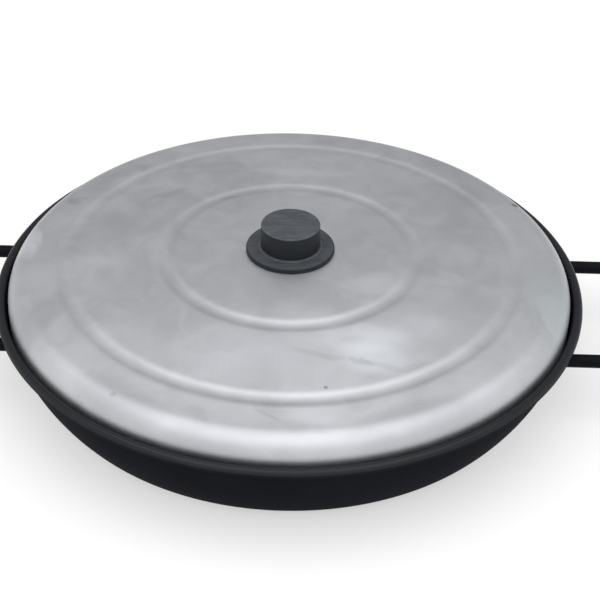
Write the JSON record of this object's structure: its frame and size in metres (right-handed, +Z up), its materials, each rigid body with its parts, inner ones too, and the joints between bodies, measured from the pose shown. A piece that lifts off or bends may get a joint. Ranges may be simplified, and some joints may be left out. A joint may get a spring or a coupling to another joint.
{
  "type": "cooking pot",
  "caption": "Wide, shallow dark steel cooking pot with a rolled rim, bent-bar side handles and a domed aluminium lid that sits inside the rim under a dark moulded knob.",
  "frame": {"origin": "middle of the pan's flat underside, on the surface that the pot stands on", "axes": "+X through the right-hand handle, +Z up along the axis of pan and lid"},
  "size_m": [0.516, 0.4, 0.1039],
  "materials": {
    "pan_steel": "near-black baked finish on pressed steel, slightly glossy",
    "handle_steel": "near-black baked finish on round steel bar",
    "lid_aluminium": "satin spun aluminium, cloudy and stained from use",
    "knob_plastic": "dark grey moulded phenolic, worn dull",
    "insert_brass": "turned",
    "fastener_steel": "plain zinc-plated steel"
  },
  "bodies": {
    "root": {"pan": "pan_steel", "right_handle": "handle_steel", "left_handle": "handle_steel", "lid": "lid_aluminium", "knob": "knob_plastic", "knob_disc": "knob_plastic", "knob_insert": "insert_brass", "knob_screw": "fastener_steel", "knob_washer": "fastener_steel"}
  },
  "joints": []
}
